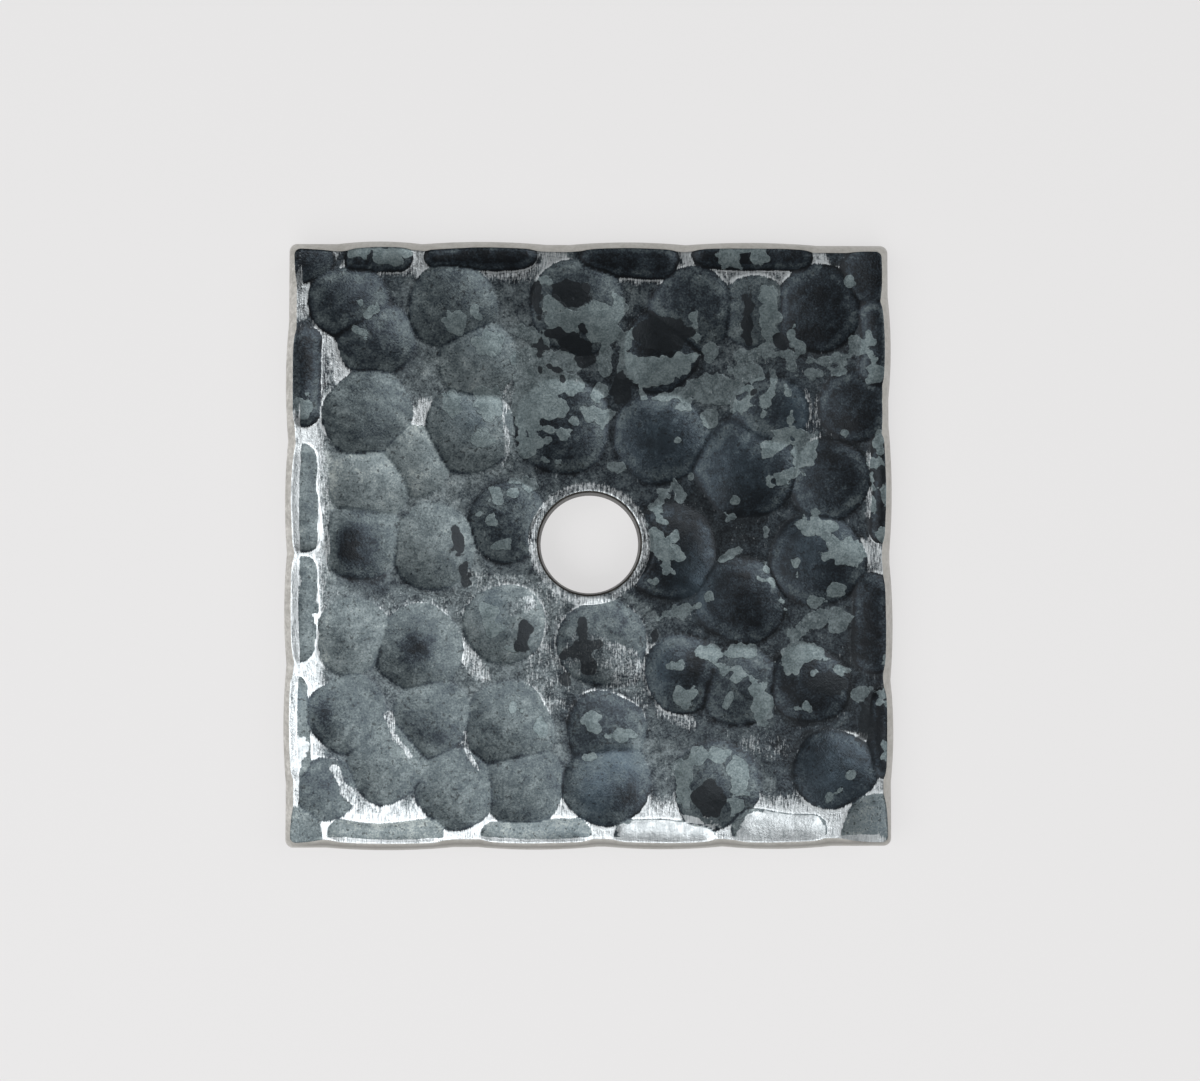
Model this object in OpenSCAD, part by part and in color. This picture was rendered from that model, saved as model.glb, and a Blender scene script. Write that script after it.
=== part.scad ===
// Square plate washer with a hammered face, bulged sides and one round bolt hole.
// Origin: middle of the hole on the underside. The hole runs along Z, the hammered face is up.

/* [Plate] */
// Length of a side where no blow has pushed it out
side = 76.2; // [50:0.1:120]
// Thickness of the plate
thick = 6.35; // [4.5:0.05:10]
// How far the sides bulge out at mid thickness
bulge = 1.7; // [0.8:0.05:1.75]
// Radius of the four corners seen from above
corner_r = 1.8; // [1.75:0.05:4]

/* [Hole] */
// Diameter of the bolt hole
hole_d = 12.7; // [8:0.1:20]
// Width of the broken edge at the top of the hole
arris = 0.2; // [0.1:0.05:0.5]
// Width of the flat ring left standing round the hole
ring_w = 0.6; // [0.3:0.1:1.5]

/* [Hammer blows] */
// Radius to which the hammer's face is crowned
crown = 24; // [20:1:60]
// Depth of a blow on the edge
edge_depth = 0.3; // [0.2:0.05:0.7]
// How far in from the edge the print of such a blow begins
lip = 0.5; // [0.3:0.05:0.8]
// How far a blow on the edge pushes the side out
swell = 0.35; // [0.15:0.05:0.6]

/* [Hidden] */
$fn = 96;

half = side / 2;
// The blows are placed for a plate of this side and follow it when it grows
grow = side / 76.2;
// Radius of the bulged side, from its height and its bulge
barrel_r = (thick * thick / 4 + bulge * bulge) / (2 * bulge);
// How deep the pushed-out pieces reach back into the plate
root_w = thick / 2;
// Height over which the ring round the hole slopes away, and how far it spreads there
ring_h = thick / 8;
ring_flank = 1.5 * ring_h;
// How far a blow on the edge moves the side beyond the end of its print
spread = 1;
// How much longer at each end a pushed-out piece is than what shows of it
tail = 0.7;
// Stock left above and below the blank until its sides are pushed out
stock = thick / 20;

// Blows on the face: across, up, radius of the print
face_blows = [
    [-36, 36, 4],
    [35, 34, 4],
    [36.5, -36.5, 5.5],
    [-37, -36.5, 4.5],
    [-30, 30, 5],
    [-26.5, 25.5, 5],
    [-17, 29.5, 5.5],
    [-14, 23, 5],
    [-1.5, 29.5, 6],
    [13, 29, 5.5],
    [20.5, 29, 4.5],
    [28.5, 29.5, 5.5],
    [9, 24, 5],
    [33, 17, 4.5],
    [22.5, 16, 5],
    [19.5, 9.5, 6.5],
    [9, 13, 6],
    [-3.5, 14.5, 6],
    [-15, 14, 5.5],
    [-27.5, 16, 5.5],
    [-21.5, 10, 4.5],
    [-27.5, 7.5, 5],
    [-28, 0.5, 5],
    [-19.5, -0.5, 5.5],
    [-10, 2.5, 5],
    [10, -1, 6],
    [19, -7, 5.5],
    [28.5, -2, 6],
    [30, 8, 5],
    [-29, -11.5, 5],
    [-21, -13, 5.5],
    [-10.5, -10, 5],
    [1.5, -12.5, 5.5],
    [11.5, -16, 5],
    [18.5, -17.5, 5],
    [27, -17.5, 5],
    [30.5, -28, 5],
    [15.5, -30, 5.5],
    [2, -29.5, 5.5],
    [2, -23.5, 5],
    [-10, -22.5, 5.5],
    [-8, -30, 5],
    [-16.5, -30.5, 5],
    [-19.5, -21.5, 5],
    [-30, -21, 5],
    [-25, -27, 5],
    [-32.5, -30.5, 4],
];

// Blows on the edge: quarter turns from the top edge, place along it, half length, width
edge_blows = [
    [0, -26.5, 4.5, 4],
    [0, -13.5, 7, 3.5],
    [0, 5, 6.5, 4.5],
    [0, 20.5, 7.5, 3.5],
    [1, 20.5, 6.5, 4.5],
    [1, 5.5, 6.5, 4],
    [1, -8, 6.5, 4],
    [1, -22.5, 6.5, 3],
    [2, 25, 7, 3.5],
    [2, 6.5, 6.5, 3.5],
    [2, -9.5, 6.5, 3.5],
    [2, -23.5, 6, 4.5],
    [3, -25, 5.5, 4],
    [3, -7, 7, 2.5],
    [3, 10, 6.5, 5],
    [3, 23.5, 5.5, 3],
];

// Section through one bulged side, its outermost point at the given distance from the axis
module side_section(reach, depth, over) {
    intersection() {
        translate([reach - barrel_r, thick / 2])
            circle(barrel_r);
        translate([reach - depth, -over])
            square([2 * depth, thick + 2 * over]);
    }
}

// Section across the whole plate
module plate_section() {
    translate([-half + corner_r, -stock])
        square([side - 2 * corner_r, thick + 2 * stock]);
    translate([half - corner_r, 0])
        side_section(corner_r, corner_r, stock);
    mirror([1, 0])
        translate([half - corner_r, 0])
            side_section(corner_r, corner_r, stock);
}

// The plate as it was cut, before any blow
module blank() {
    for (turn = [0, 90])
        rotate([90, 0, turn])
            linear_extrude(side - 2 * corner_r, center = true)
                plate_section();
    for (turn = [0:90:270])
        rotate(turn)
            translate([half - corner_r, half - corner_r, 0])
                rotate_extrude(angle = 90)
                    side_section(corner_r, corner_r, stock);
}

// The side pushed out by one blow on the edge
module pushed_out(blow) {
    chord = blow[2] * grow + spread;
    plan_r = (chord * chord + swell * swell) / (2 * swell);
    sweep = asin((chord + tail) / plan_r);
    rotate(90 * blow[0])
        translate([blow[1] * grow, half + swell - plan_r, 0])
            rotate(90 - sweep)
                rotate_extrude(angle = 2 * sweep)
                    side_section(plan_r, root_w, 2 * stock);
}

// The hammer's crowned face at the bottom of one blow on the face
module face_tool(blow) {
    print_r = blow[2] * grow;
    rise = sqrt(crown * crown - print_r * print_r);
    translate([blow[0] * grow, blow[1] * grow, thick + rise])
        rotate([90, 0, 0])
            sphere(crown);
}

// The hammer's face drawn along the edge: a rod with round ends whose lowest part makes the print
module edge_tool(blow) {
    print_r = blow[3] / 2 * grow;
    rod_r = (print_r * print_r + edge_depth * edge_depth) / (2 * edge_depth);
    run = blow[2] * grow - print_r;
    rotate(90 * blow[0])
        translate([blow[1] * grow, half - lip - print_r, thick - edge_depth + rod_r])
            rotate([0, 90, 0])
                rotate_extrude()
                    intersection() {
                        union() {
                            translate([0, run])
                                circle(rod_r);
                            translate([0, -run])
                                circle(rod_r);
                            translate([-rod_r, -run])
                                square([2 * rod_r, 2 * run]);
                        }
                        translate([0, -run - 2 * rod_r])
                            square([2 * rod_r, 2 * run + 4 * rod_r]);
                    }
}

// The plate with its sides pushed out by the first so many blows on the edge
module spread_sides(count) {
    if (count == 0) {
        blank();
    } else {
        union() {
            spread_sides(count - 1);
            pushed_out(edge_blows[count - 1]);
        }
    }
}

// The plate brought down to its thickness
module trimmed() {
    intersection() {
        spread_sides(len(edge_blows));
        translate([-side, -side, 0])
            cube([2 * side, 2 * side, thick]);
    }
}

// The plate after the first so many blows on the face
module struck_face(count) {
    if (count == 0) {
        trimmed();
    } else {
        difference() {
            struck_face(count - 1);
            face_tool(face_blows[count - 1]);
        }
    }
}

// The plate after every blow on the face and the first so many on the edge
module struck_edge(count) {
    if (count == 0) {
        struck_face(len(face_blows));
    } else {
        difference() {
            struck_edge(count - 1);
            edge_tool(edge_blows[count - 1]);
        }
    }
}

// The ring of the first surface that stands round the hole
module hole_ring() {
    top_r = hole_d / 2 + arris + ring_w;
    translate([0, 0, thick - ring_h])
        cylinder(h = ring_h, r1 = top_r + ring_flank, r2 = top_r);
}

// The finished washer
module plate() {
    color("dimgray")
        difference() {
            union() {
                struck_edge(len(edge_blows));
                hole_ring();
            }
            translate([0, 0, -thick])
                cylinder(h = 3 * thick, d = hole_d);
            translate([0, 0, thick - arris])
                cylinder(h = 2 * arris, r1 = hole_d / 2, r2 = hole_d / 2 + 2 * arris);
        }
}

plate();
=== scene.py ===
"""A hammered square plate washer: overlapping hammer prints, mill scale that has flaked, brushed lands."""

import math

import bpy
import numpy as np
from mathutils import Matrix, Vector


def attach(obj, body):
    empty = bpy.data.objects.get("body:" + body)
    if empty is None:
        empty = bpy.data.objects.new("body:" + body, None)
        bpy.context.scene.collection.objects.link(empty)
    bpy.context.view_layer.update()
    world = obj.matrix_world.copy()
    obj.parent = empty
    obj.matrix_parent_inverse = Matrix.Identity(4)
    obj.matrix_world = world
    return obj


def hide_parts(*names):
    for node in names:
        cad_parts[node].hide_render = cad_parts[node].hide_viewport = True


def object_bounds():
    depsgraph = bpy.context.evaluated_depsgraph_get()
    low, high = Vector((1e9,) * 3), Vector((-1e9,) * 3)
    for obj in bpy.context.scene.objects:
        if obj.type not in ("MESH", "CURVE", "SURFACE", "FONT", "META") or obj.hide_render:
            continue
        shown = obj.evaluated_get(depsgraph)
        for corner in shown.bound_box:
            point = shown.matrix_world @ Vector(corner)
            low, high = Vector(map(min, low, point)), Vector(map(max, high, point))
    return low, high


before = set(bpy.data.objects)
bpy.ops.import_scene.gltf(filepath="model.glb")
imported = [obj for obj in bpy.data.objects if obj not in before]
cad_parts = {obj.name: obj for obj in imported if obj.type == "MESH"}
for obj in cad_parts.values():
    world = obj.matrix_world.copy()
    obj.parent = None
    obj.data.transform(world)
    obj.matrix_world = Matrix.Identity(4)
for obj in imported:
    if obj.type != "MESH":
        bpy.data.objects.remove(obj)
cad_low, cad_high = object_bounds()

MM = 0.001

# Sizes of the plate in millimetres, as in the part
SWELL = 0.35
BULGE = 1.7
ARRIS = 0.2
RING_W = 0.6
CROWN = 24
EDGE_DEPTH = 0.3
LIP = 0.5
SPREAD = 1
HOLE_R = 6.35
THICK = (cad_high[2] - cad_low[2]) / MM
HALF = (cad_high[0] - cad_low[0]) / MM / 2 - SWELL
BARREL_R = (THICK ** 2 / 4 + BULGE ** 2) / (2 * BULGE)
RING_H = THICK / 8
RING_FLANK = 1.5 * RING_H

# Radius of the corners seen from above, at the bulged crest and at the edge of the face
CREST_TIP = 1
ARRIS_TIP = 0.7

# What work and wear leave: how far the prints' rims wander and over what run, how soft the ridges are,
# how deep the ripple in the dishes is and over what run, how wide the broken edge round the face is
WANDER = 0.28
WANDER_RUN = 9
RIDGE_SOFT = 0.01
RIPPLE = 0.008
RIPPLE_RUN = 3.5
BROKEN_EDGE = 0.13

# Layout of the net of faces: cells along a side, cells the hole takes from its middle, rows down the walls,
# how far the net lies inside the sides, how far out it bends round the hole and how wide a margin follows
# the wavy edge
CELLS = 268
HOLE_CELLS = 42
SIDE_ROWS = 10
WALL_ROWS = 8
NET_INSET = 1.5
NET_HALF = HALF - NET_INSET
CELL = 2 * NET_HALF / CELLS
CALM = 13
MARGIN = 4

# Past this share of its radius squared a hammer's face counts as level; a hair, for comparing places
FAR_SHARE = 0.8
HAIR = 1e-6

# The stage in metres: width of the paper, its drop under the plate, how far off and how wide the windows are
PAPER_SIZE = 6
PAPER_DROP = 0.02 * MM
WINDOW_AWAY = 0.6
WINDOW_SIZE = 0.42

# The photograph's width and the length of its lens, both in its pixels
PHOTO_WIDTH = 1200
PHOTO_LENS = 1014

# Blows on the face in millimetres: across, up, radius of the print, how pale the scale in it is. That
# paleness is partly the scale's own tone and partly painted light: prints towards the lower left, nearer the
# windows, are set paler, and those towards the upper right darker
FACE_BLOWS = [
    (-36, 36, 4, 0.2), (35, 34, 4, 0.1), (36.5, -36.5, 5.5, 0.75), (-37, -36.5, 4.5, 0.6),
    (-30, 30, 5, 0.3), (-26.5, 25.5, 5, 0.35), (-17, 29.5, 5.5, 0.45), (-14, 23, 5, 0.6),
    (-1.5, 29.5, 6, 0.39), (13, 29, 5.5, 0.33), (20.5, 29, 4.5, 0.45), (28.5, 29.5, 5.5, 0.19),
    (9, 24, 5, 0.12), (33, 17, 4.5, 0.19), (22.5, 16, 5, 0.28), (19.5, 9.5, 6.5, 0.25),
    (9, 13, 6, 0.28), (-3.5, 14.5, 6, 0.3), (-15, 14, 5.5, 0.56), (-27.5, 16, 5.5, 0.46),
    (-21.5, 10, 4.5, 0.69), (-27.5, 7.5, 5, 0.65), (-28, 0.5, 5, 0.49), (-19.5, -0.5, 5.5, 0.6),
    (-10, 2.5, 5, 0.36), (10, -1, 6, 0.14), (19, -7, 5.5, 0.19), (28.5, -2, 6, 0.22), (30, 8, 5, 0.23),
    (-29, -11.5, 5, 0.57), (-21, -13, 5.5, 0.52), (-10.5, -10, 5, 0.55), (1.5, -12.5, 5.5, 0.45),
    (11.5, -16, 5, 0.32), (18.5, -17.5, 5, 0.35), (27, -17.5, 5, 0.2), (30.5, -28, 5, 0.2),
    (15.5, -30, 5.5, 0.4), (2, -29.5, 5.5, 0.38), (2, -23.5, 5, 0.36), (-10, -22.5, 5.5, 0.51),
    (-8, -30, 5, 0.5), (-16.5, -30.5, 5, 0.51), (-19.5, -21.5, 5, 0.47), (-30, -21, 5, 0.5),
    (-25, -27, 5, 0.54), (-32.5, -30.5, 4, 0.45),
]

# Blows on the edge: quarter turns from the top edge, place along it, half length, width, how pale. As on the
# face, the paleness is partly painted light: blows on the left and lower edges are set paler, those on the
# right and upper edges darker
EDGE_BLOWS = [
    (0, -26.5, 4.5, 4, 0.2), (0, -13.5, 7, 3.5, 0.12), (0, 5, 6.5, 4.5, 0.16),
    (0, 20.5, 7.5, 3.5, 0.12), (1, 20.5, 6.5, 4.5, 0.2), (1, 5.5, 6.5, 4, 0.55), (1, -8, 6.5, 4, 0.55),
    (1, -22.5, 6.5, 3, 0.7), (2, 25, 7, 3.5, 0.72), (2, 6.5, 6.5, 3.5, 0.75), (2, -9.5, 6.5, 3.5, 0.6),
    (2, -23.5, 6, 4.5, 0.6), (3, -25, 5.5, 4, 0.22), (3, -7, 7, 2.5, 0.1), (3, 10, 6.5, 5, 0.15),
    (3, 23.5, 5.5, 3, 0.1),
]

# Pale patches where the outer scale has flaked off: across, up, half width, half height, turn in degrees
FLAKES = [
    (-28.6, 30.4, 0.5, 0.3, 10), (-27, 29, 1, 0.45, 25), (-28.9, 26.6, 1, 0.45, -25),
    (-16.7, 27.6, 1.6, 1.5, 0), (-14.4, 28.8, 1, 0.8, -30), (-28.5, 36.3, 1.3, 0.8, 0),
    (-25.2, 35.8, 2, 1.2, -15), (-23, 36.6, 1, 0.8, 0), (-35.6, 16.8, 1.2, 1.5, 0),
    (-17.3, 17.4, 1.2, 1.6, 0), (-13, 18.2, 1.6, 1.3, 0), (-13.5, 13.2, 1.5, 1.2, 0),
    (-12.5, 25, 2, 1.6, 0), (-12.3, 17.3, 1.4, 2.2, 0), (-8, 26.2, 1.6, 1, 0), (-6, 25, 1.2, 1.6, 0),
    (-4.6, 29.9, 1.3, 1.2, 0), (-2.8, 27.8, 2.8, 1.5, 0), (1.2, 28.3, 2.8, 2, 0),
    (2, 26.6, 2.2, 1.8, 0), (3.6, 29.4, 1, 1.7, 0), (-0.5, 31.8, 0.6, 1, 30), (-2.2, 31, 0.3, 0.3, 0),
    (-6, 33, 1.1, 0.6, 0), (-7.5, 23, 2.2, 1.7, 0), (-3.6, 22.7, 2.7, 1.4, -20),
    (-5.6, 20.1, 3.9, 2, 0), (-2.2, 19.9, 1.4, 1.7, 0), (-7.5, 17, 2.2, 3, 0), (-5.3, 17, 2.5, 1.7, 0),
    (-2, 15.5, 0.55, 0.55, 0), (-3.2, 13.8, 0.7, 1, 30), (-5.6, 14.5, 1, 0.7, 0),
    (-8.4, 13.1, 0.85, 1.1, 0), (-6.6, 12.8, 1.5, 1, 0), (1.8, 15.8, 1.2, 1.2, 0), (0, 16.2, 1, 0.9, 0),
    (1.2, 18.7, 0.9, 1.2, 0), (2, 22.7, 1.1, 2, 0), (4.7, 25.5, 0.7, 1.7, -25),
    (4.8, 22.1, 1.4, 1.7, 0), (8, 21.5, 3.1, 2, 0), (11.3, 22.4, 2.1, 1.3, 20),
    (6.7, 18.4, 0.6, 0.6, 0), (13, 28.3, 0.5, 0.75, 0), (13.2, 25.6, 0.7, 0.4, -45),
    (10.2, 27.8, 0.35, 0.35, 0), (9.1, 18.3, 0.8, 0.4, 0), (11.1, 17.2, 0.5, 0.3, 20),
    (12.3, 17, 0.5, 0.35, 20), (17.8, 36.2, 1.5, 1, 0), (17, 35.2, 0.6, 0.7, 0),
    (21.1, 36, 1.2, 1.1, 0), (19.6, 36.9, 2.2, 0.6, 0), (19, 34.8, 0.8, 0.4, 0),
    (22.5, 31, 1.2, 1.4, 0), (22.6, 28.8, 1.4, 1.6, 0), (22.4, 26.3, 1.2, 1.5, 0),
    (22, 24.2, 1.6, 1, 0), (19.5, 23.4, 1.6, 0.8, 5), (23.5, 23.6, 1.2, 0.6, -15),
    (15, 24, 0.95, 1.2, 0), (25.2, 26, 0.6, 1, -15), (26, 24.8, 1.2, 0.8, -10),
    (25.2, 23, 0.9, 1.3, -10), (29, 22.8, 1.4, 0.7, 0), (31, 23, 1.2, 0.6, 0), (28, 21.3, 1.4, 0.6, 10),
    (30.5, 21.5, 1.4, 0.7, 0), (33.6, 24.6, 1.3, 1, 0), (35, 25.3, 0.9, 0.5, 20),
    (34.9, 26, 0.35, 0.7, 10), (35.3, 23.3, 0.4, 0.8, 25), (33, 25.5, 0.5, 0.6, 30),
    (35.9, 21.4, 1, 0.9, 0), (34.6, 22, 0.9, 0.35, -10), (35.8, 20.4, 1, 0.4, 0),
    (15, 15.6, 1.1, 1.1, 0), (15.5, 19.2, 3.8, 2, 0), (11.5, 18.7, 1.6, 0.9, 0),
    (19.6, 21.2, 2.2, 1.3, 0), (19, 17.3, 1.2, 0.8, 20), (20.3, 19.3, 0.8, 0.9, 0),
    (22.3, 18.6, 0.6, 2.2, -15), (24.8, 19, 0.4, 0.5, 0), (25.2, 15.5, 0.35, 0.7, 0),
    (24.2, 13.6, 1, 1, 0), (22.5, 11.8, 1.1, 1, 40), (25.5, 13.8, 0.6, 0.6, 0),
    (32.2, 13.9, 0.35, 0.3, 0), (32.6, 32.8, 0.5, 0.6, 30), (23.6, 12.6, 1.7, 0.9, 35),
    (22, 12.3, 0.9, 0.8, -40), (27, 12.2, 1.6, 1.9, -25), (26.6, 10.2, 1.2, 0.9, 0),
    (25, 8.5, 2, 0.7, 25), (23.2, 8.4, 1, 0.5, 0), (18.3, 5.3, 0.5, 0.5, 0), (17.5, 3.4, 0.5, 0.45, 20),
    (22.1, 1.5, 0.45, 0.45, 0), (17.5, -1.4, 1.3, 0.55, 35), (14.8, -6.2, 0.6, 0.75, -30),
    (21.5, -4.5, 0.6, 0.45, 0), (22.8, -4.8, 0.25, 1.6, 25), (25.8, -3, 0.4, 0.75, 0),
    (28.4, 3.9, 0.5, 0.45, 0), (28, 2.3, 2, 1.1, 5), (30.3, 2, 1.1, 0.7, -10),
    (30.2, 0.3, 0.9, 1.4, 10), (32.3, -1.2, 2.1, 1.7, 0), (30.4, -1.4, 1.2, 0.6, 0),
    (34, -0.6, 1, 0.8, 0), (30.6, -5.8, 1.1, 0.9, 10), (28.7, -6.9, 1.3, 0.5, 25),
    (27.7, -7.3, 0.7, 0.8, 0), (28, -9.5, 2, 1.2, 20), (26.5, -11, 2.2, 0.6, 20),
    (31, -9.5, 1.5, 1.8, 0), (36.2, 12.6, 0.8, 1.6, -15), (35.8, 10, 0.9, 0.8, 0),
    (35.2, 7.8, 0.3, 1.6, 5), (35.4, 5.2, 0.35, 1.6, 5), (37, 6.2, 0.6, 1.3, 0),
    (36.6, 1.2, 0.9, 0.9, 0), (31.8, 10.5, 0.4, 0.5, 0), (-11.8, 6.2, 0.7, 0.9, 0),
    (-11, 5.4, 1, 0.6, -30), (-12.3, 2.8, 0.6, 0.7, 0), (-13.5, 4, 0.5, 0.7, 0),
    (-10.8, -0.1, 0.9, 0.6, 0), (-9.4, 6.3, 0.8, 0.7, 0), (-8, 7.5, 1.6, 0.7, -15),
    (-8.4, 12.5, 0.7, 1, 0), (-7.5, 11.2, 0.8, 0.7, 0), (-5.2, 10.2, 0.9, 0.4, 0),
    (3.4, 9.5, 0.95, 0.9, 0), (10.9, 12.9, 0.35, 0.3, 0), (12.7, 8.3, 0.3, 0.3, 0),
    (8.4, 4.8, 0.6, 1.1, -35), (9.3, 6.2, 0.8, 0.7, 0), (11, 6.9, 0.7, 0.8, 0),
    (11.3, 5.8, 0.7, 0.7, 0), (8.9, 2.8, 0.7, 0.5, 0), (7.2, 2.7, 0.5, 0.4, 0), (8.3, 1, 1, 1, 0),
    (9.6, -1, 2, 1.1, -15), (10.5, 0.8, 0.7, 0.6, 0), (9.8, -3, 0.6, 0.8, 0), (11.3, -1.8, 0.6, 0.5, 0),
    (8, -4.9, 0.5, 0.4, 0), (-11.8, -10.7, 1.3, 0.8, 20), (-12.5, -8.8, 1.2, 1.5, 0),
    (11, -8.5, 2.2, 0.8, 20), (-9.4, -13, 0.7, 0.5, 0), (-6, -22.7, 1.1, 0.9, 0),
    (0.7, -23, 0.8, 0.7, 0), (0.2, -21.6, 1.1, 1.1, 0), (3.8, -23.8, 1.6, 0.8, 10),
    (-9.5, -20.3, 0.9, 0.5, 0), (0.2, -26.6, 0.8, 0.5, 0), (11.8, -19, 1.5, 1.2, -15),
    (10.7, -15.2, 0.8, 0.5, 0), (11.5, -27.8, 1.4, 1.2, 40), (13.5, -26.3, 1.6, 1, 20),
    (16, -26.2, 1.6, 1, -10), (18.3, -27.6, 1.5, 1.5, -40), (18.8, -30, 1.2, 1.8, 0),
    (18, -32.3, 1, 1.4, 0), (11.7, -30.4, 1, 2.2, 0), (15, -13.6, 1.6, 1, 0), (19, -13.5, 2.2, 1, 0),
    (18.5, -16.3, 0.8, 1.2, 0), (17, -15.4, 1, 0.7, -20), (21.3, -19.7, 1.3, 2.9, 10),
    (17.3, -19.4, 0.35, 1.1, -20), (26.8, -13.7, 2.6, 1.3, -5), (25.2, -14.8, 1.6, 1.2, 0),
    (27.8, -16.2, 0.55, 0.55, 0), (26.6, -20.5, 0.9, 0.55, 25), (29.8, -31.4, 1.2, 0.5, 25),
    (32.6, -28.6, 0.7, 0.6, 0), (31.4, -15.8, 0.8, 0.8, 0), (33.5, -18.5, 1.5, 0.9, 0),
    (36.9, -26.3, 0.5, 1.5, 0), (36.5, -19, 0.6, 1, 0), (37.2, -14.3, 0.6, 0.5, 0),
]

# Patches of the blackest scale, laid out in the same way
BLACK_SCALE = [
    (-4.2, 26.1, 1.3, 0.8, 0), (-1.9, 24.9, 2.2, 1.2, -25), (-0.5, 23, 1.2, 1.2, 0),
    (-0.9, 26.8, 0.4, 0.7, 0), (-6.1, 24.6, 0.2, 2, 0), (-5.3, 24.5, 2.6, 0.2, -9),
    (-3.3, 21.5, 2.3, 0.25, -12), (-3.4, 20.5, 0.2, 0.5, 0), (-6.6, 30.9, 0.7, 2, 0),
    (-2.2, 31.4, 2.5, 1.6, 0), (9.1, 26.3, 3.6, 2.2, 0), (4, 19.3, 1.3, 1.8, 0),
    (19.8, 28.5, 0.7, 3.5, 0), (24, 25.2, 1, 1, 0), (20.6, 19.2, 0.7, 0.6, 40),
    (14.9, -31.6, 2.1, 2.1, 0), (-0.7, -10.9, 0.6, 1.6, 0), (-0.6, -13.2, 1.1, 1.4, 0),
    (-0.2, -15.2, 1.1, 1.1, 0), (-2.2, -13.2, 1.5, 0.75, 31), (0.6, -12.4, 1.2, 0.6, 0),
    (-3.1, -16.8, 0.6, 0.9, 0), (-16.3, 0.3, 0.8, 1.8, 15), (-15.5, -4, 0.7, 1.4, 0),
    (29.5, -17.5, 2.4, 1.4, 0), (8.2, -11.1, 0.4, 0.7, 0), (36.5, 8.5, 1, 1, 0),
    (36.8, 3.7, 0.7, 0.8, 0), (34.2, -22.5, 1.1, 2.4, 0), (-8.2, -11.4, 0.9, 2.4, -8),
]

# Where the wire brush has worked the high places: from, to, half width, how much
BRUSHED = [
    (-35.5, 14, -35.5, -37, 2.6, 1), (-33.2, 27, -33, 14, 1.2, 0.5), (-36.5, 29.5, -35, 33, 2, 0.75),
    (-35, 33, -31, 37, 0.8, 0.5), (-37, -36, 34, -35.5, 4, 1), (34, -34, 37, -30, 1.6, 0.8),
    (-24.5, -22.3, -22, -26.3, 0.9, 0.38), (-31.6, -27.3, -29.7, -31.5, 1, 0.42),
    (-18.3, -10.4, -13.2, -16.2, 1.1, 0.6), (-15.5, -23.8, -14.2, -27.3, 0.7, 0.35),
    (-25, -8, -15, -7.5, 1.6, 0.25), (-14, -4.5, -8, -5.5, 1.4, 0.35), (-10.2, 20, -10.5, 10, 0.7, 0.3),
    (-20.5, 17, -21.3, 13.8, 1.2, 0.9), (-32.3, 25, -30.8, 20.8, 1.1, 0.85),
    (-5.5, -8, -5, -19, 3, 0.32), (4.5, -11, 5, -19, 3, 0.27), (0, -18.8, 4, -19.5, 0.8, 0.6),
    (9, -20.5, 12.5, -22.3, 0.9, 0.5), (7.6, -13, 7.8, -18, 0.8, 0.4), (34.5, -0.5, 37, -3, 1.5, 0.75),
    (36.3, -18, 35, -31, 0.8, 0.25), (29, -23.7, 34, -24, 0.6, 0.7), (-21.7, 37, -21, 34, 1, 0.95),
    (-5, 36.5, -3, 34, 1.4, 0.95), (-30, 34.4, -12, 34.2, 1, 0.5), (-12, 34, 32, 33.4, 1.2, 0.6),
    (12, 37, 13, 34, 0.9, 0.9), (28.5, 36.5, 29, 35, 1, 0.9), (16, 33.2, 24, 33, 0.7, 0.4),
    (36.5, 31.5, 36.5, 30.5, 1, 0.65), (27.7, 19, 28, 11, 0.9, 0.3), (35, 11, 34.8, 3.5, 0.5, 0.45),
    (0, -7.2, 0, -7.8, 2, 0.8), (20, -24.5, 24, -25.5, 1.4, 0.3),
]

# Ridges between prints rubbed to a thin bright line, laid out in the same way
RIDGES = [
    (-24.9, -21.2, -23.9, -24.1, 0.65, 0.6), (-23.9, -24.1, -22.2, -26.2, 0.5, 0.58),
    (-15.5, -23.4, -15.1, -25.4, 0.45, 0.58), (-15.1, -25.4, -13.9, -27.8, 0.4, 0.56),
    (-31.4, -27.8, -30.1, -30.4, 0.65, 0.62), (-30.1, -30.4, -27.6, -32.4, 0.9, 0.66),
    (-33.9, -8.8, -33.5, -13.5, 0.3, 0.64), (-10.3, 19.5, -10.6, 15.5, 0.5, 0.53),
    (-32.9, 11, -33, 2, 0.9, 0.58), (-33, 2, -32.9, -7, 0.9, 0.58),
    (-10.6, 15.5, -10.3, 10.5, 0.6, 0.53), (-31.9, 24.9, -30.6, 21.3, 0.5, 0.62),
    (-20.6, 18.5, -21.2, 15.2, 0.3, 0.62),
]

# Parts of dishes scoured like the lands, laid out in the same way
SCOURED = [
    (-0.5, -13.5, 4, -15.5, 3.2, 0.62), (-7.5, -7.5, -9.5, -8, 1.2, 0.6),
]

# Soft smudges in the scale: across, up, half width, half height, how much darker (paler below 0). Some are
# the scale's own dark smudges; the darker ones over the right half are painted shade away from the windows,
# and the pale ones along the left edge are painted sheen
SMUDGES = [
    (-29.3, -0.8, 2.8, 2.8, 0.4), (-21.5, -13, 2.4, 2, 0.42), (-25, -5.5, 5, 1.6, 0.3),
    (-33, -22, 1.6, 4, 0.25), (9, 12.8, 2.2, 1.2, 0.35), (19, 2.5, 5, 3.5, 0.35), (13, 5, 3, 2.5, 0.25),
    (-18, -24, 2.5, 1.5, 0.2), (24, 24, 4, 3, 0.2), (30, 14, 4, 3, 0.2), (3, 21, 2, 3, 0.2),
    (-2, -20, 3, 2, 0.15), (12, -24, 5, 2, 0.2), (24, -25, 4, 5, 0.2), (33, -13, 3, 3, 0.2),
    (34, -23, 2.5, 5, 0.2), (9, -25, 3.5, 3, -0.2), (5.8, -31.4, 2.4, 2, 0.25),
    (13.6, -15.5, 1.4, 4, 0.28), (-32.2, 7, 1.1, 5, -0.25), (-32.4, -3, 1.1, 4, -0.25),
    (-32.8, -12, 0.9, 4, -0.2),
]

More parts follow.
